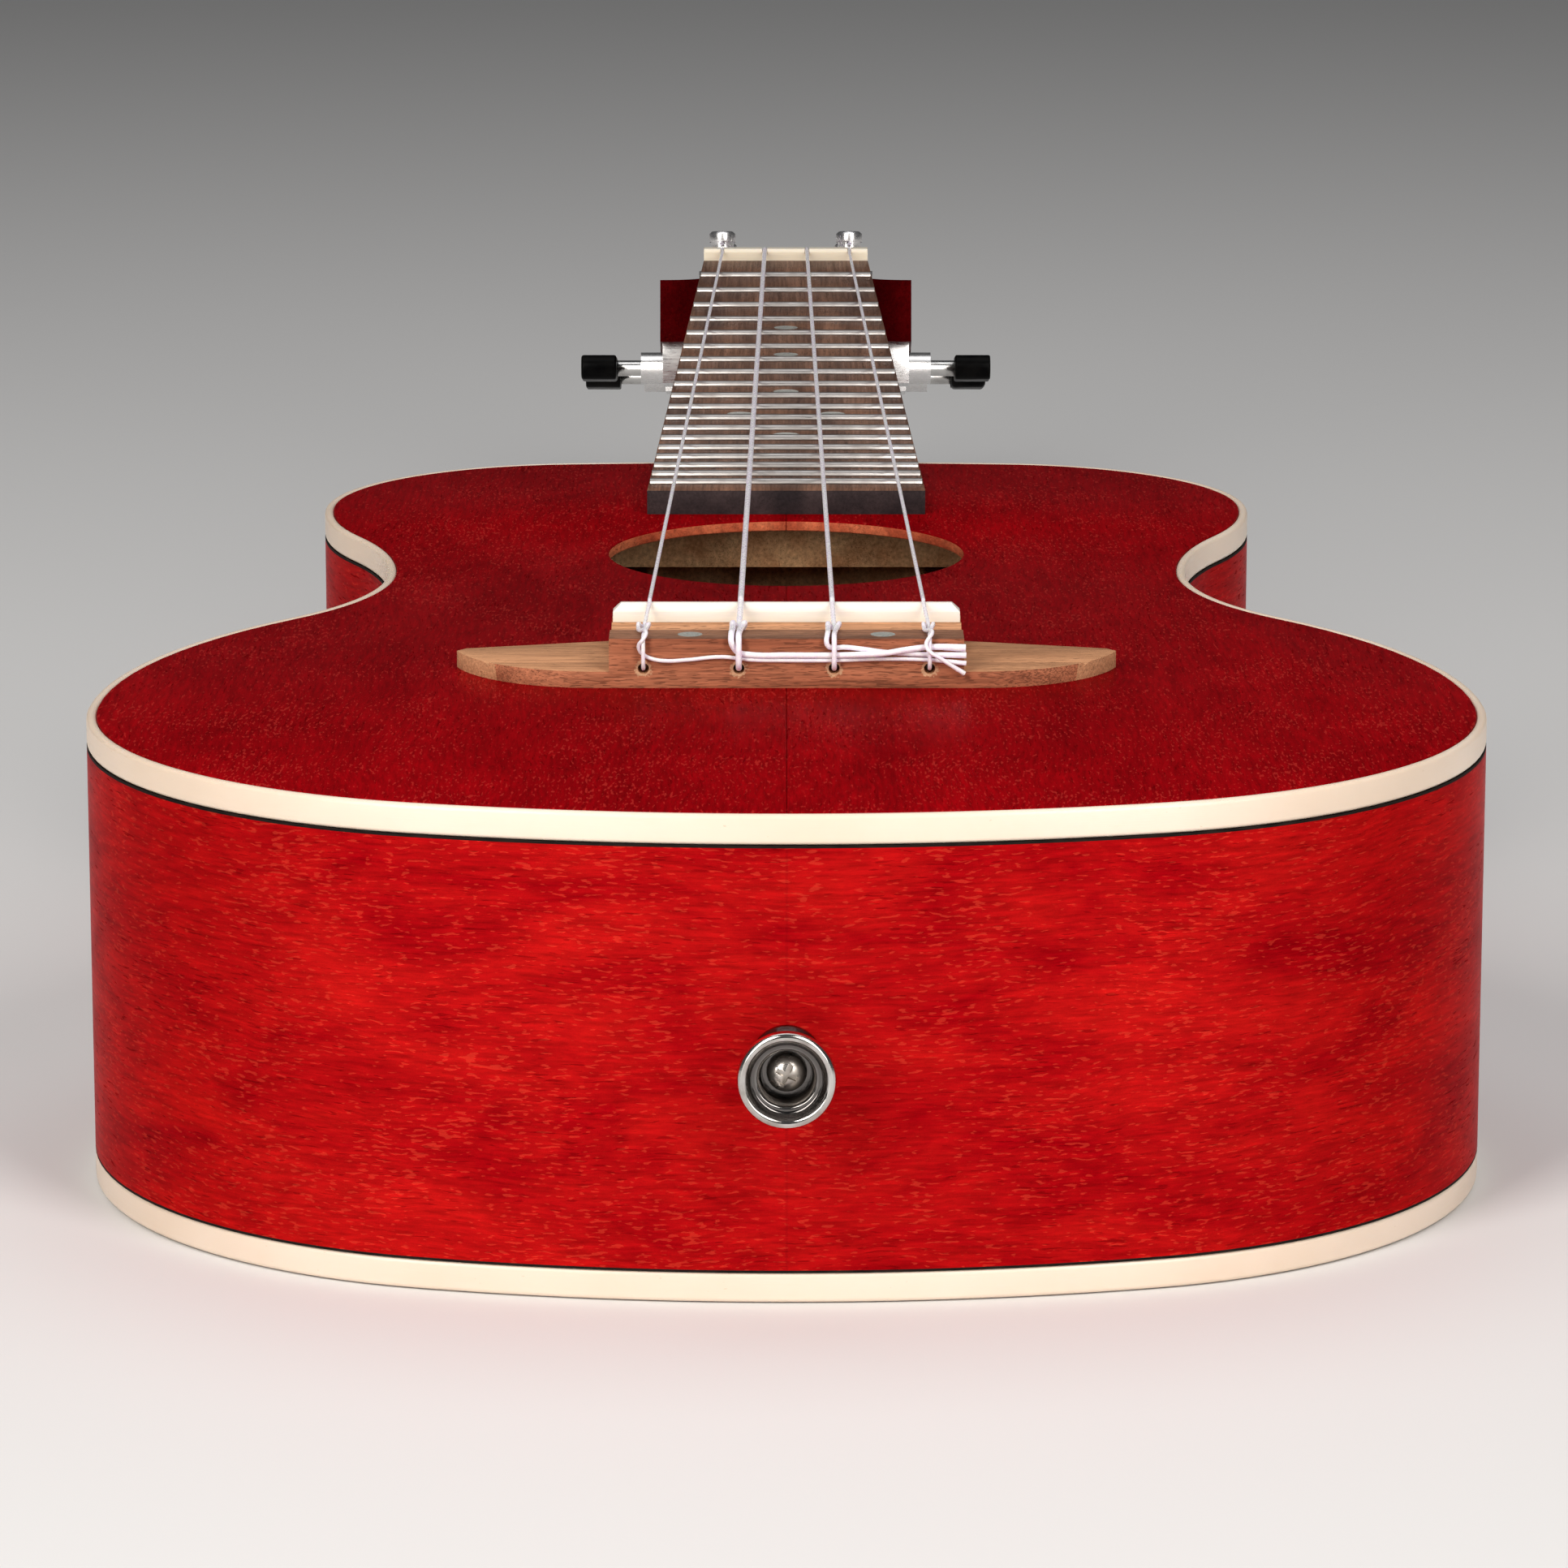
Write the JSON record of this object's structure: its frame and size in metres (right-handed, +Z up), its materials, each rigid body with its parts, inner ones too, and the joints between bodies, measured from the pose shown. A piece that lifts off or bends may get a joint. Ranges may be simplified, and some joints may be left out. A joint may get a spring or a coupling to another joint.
{
  "type": "tenor ukulele",
  "caption": "Tenor ukulele with a bound red body, round sound hole, tied walnut bridge, fretted neck, geared tuners that turn and a strap button.",
  "frame": {"origin": "on the back's outer face, on the centreline, straight under the saddle's crown", "axes": "+X to the treble side, +Y from tail to head along the strings, +Z up out of the soundboard"},
  "size_m": [0.2228, 0.6772, 0.0866],
  "materials": {
    "soundboard_wood": "satin red stain",
    "side_wood": "satin red stain",
    "neck_wood": "satin red stain",
    "cream_binding": "satin",
    "black_line": "matte",
    "pale_wood": "raw",
    "walnut": "raw, oiled",
    "fret_metal": "polished crown",
    "pearl": "glossy",
    "bone": "satin",
    "plated_steel": "plated",
    "chrome_plate": "bright",
    "black_plastic": "gloss",
    "brass_gear": "machined",
    "nylon": "translucent"
  },
  "bodies": {
    "ukulele": {"soundboard_bass": "soundboard_wood", "soundboard_treble": "soundboard_wood", "back_panel": "side_wood", "side_bass": "side_wood", "side_treble": "side_wood", "top_binding": "cream_binding", "back_binding": "cream_binding", "top_purfling": "black_line", "back_purfling": "black_line", "top_linings": "pale_wood", "back_linings": "pale_wood", "tail_block": "pale_wood", "neck_block": "pale_wood", "soundboard_braces": "pale_wood", "back_braces": "pale_wood", "bridge_plate": "pale_wood", "neck": "neck_wood", "heel_cap": "cream_binding", "headstock": "neck_wood", "fretboard": "walnut", "frets": "fret_metal", "position_dots": "pearl", "side_dots": "pearl", "nut": "bone", "saddle": "bone", "bridge": "walnut", "bridge_dots": "pearl", "bridge_bolts": "plated_steel", "strap_button": "chrome_plate", "strap_button_screw": "plated_steel", "string_g": "nylon", "string_c": "nylon", "string_e": "nylon", "string_a": "nylon", "tuner_housings": "chrome_plate", "tuner_covers": "chrome_plate", "tuner_bushings": "chrome_plate", "tuner_washers": "chrome_plate", "tuner_screws": "plated_steel"},
    "knob_g": {"tuner_button_g": "black_plastic", "worm_shaft_g": "plated_steel"},
    "post_g": {"string_post_g": "chrome_plate", "worm_wheel_g": "brass_gear", "string_winding_g": "nylon"},
    "knob_c": {"tuner_button_c": "black_plastic", "worm_shaft_c": "plated_steel"},
    "post_c": {"string_post_c": "chrome_plate", "worm_wheel_c": "brass_gear", "string_winding_c": "nylon"},
    "knob_e": {"tuner_button_e": "black_plastic", "worm_shaft_e": "plated_steel"},
    "post_e": {"string_post_e": "chrome_plate", "worm_wheel_e": "brass_gear", "string_winding_e": "nylon"},
    "knob_a": {"tuner_button_a": "black_plastic", "worm_shaft_a": "plated_steel"},
    "post_a": {"string_post_a": "chrome_plate", "worm_wheel_a": "brass_gear", "string_winding_a": "nylon"}
  },
  "joints": [
    {"name": "knob_turn_g", "type": "hinge", "parent": "ukulele", "child": "knob_g", "pos_m": [-0.0245, 0.4499, 0.0523], "axis": [1, 0, 0], "continuous": true},
    {"name": "post_turn_g", "type": "hinge", "parent": "ukulele", "child": "post_g", "pos_m": [-0.0145, 0.46043, 0.07009], "axis": [0, 0.2079, 0.9781], "continuous": true},
    {"name": "knob_turn_c", "type": "hinge", "parent": "ukulele", "child": "knob_c", "pos_m": [-0.0245, 0.48707, 0.04439], "axis": [1, 0, 0], "continuous": true},
    {"name": "post_turn_c", "type": "hinge", "parent": "ukulele", "child": "post_c", "pos_m": [-0.0145, 0.4976, 0.06219], "axis": [0, 0.2079, 0.9781], "continuous": true},
    {"name": "knob_turn_e", "type": "hinge", "parent": "ukulele", "child": "knob_e", "pos_m": [0.0245, 0.48707, 0.04439], "axis": [1, 0, 0], "continuous": true},
    {"name": "post_turn_e", "type": "hinge", "parent": "ukulele", "child": "post_e", "pos_m": [0.0145, 0.4976, 0.06219], "axis": [0, 0.2079, 0.9781], "continuous": true},
    {"name": "knob_turn_a", "type": "hinge", "parent": "ukulele", "child": "knob_a", "pos_m": [0.0245, 0.4499, 0.0523], "axis": [1, 0, 0], "continuous": true},
    {"name": "post_turn_a", "type": "hinge", "parent": "ukulele", "child": "post_a", "pos_m": [0.0145, 0.46043, 0.07009], "axis": [0, 0.2079, 0.9781], "continuous": true}
  ],
  "couplings": [
    {"joint": "post_turn_g", "follows": "knob_turn_g", "ratio": -0.071429},
    {"joint": "post_turn_c", "follows": "knob_turn_c", "ratio": -0.071429},
    {"joint": "post_turn_e", "follows": "knob_turn_e", "ratio": 0.071429},
    {"joint": "post_turn_a", "follows": "knob_turn_a", "ratio": 0.071429}
  ]
}
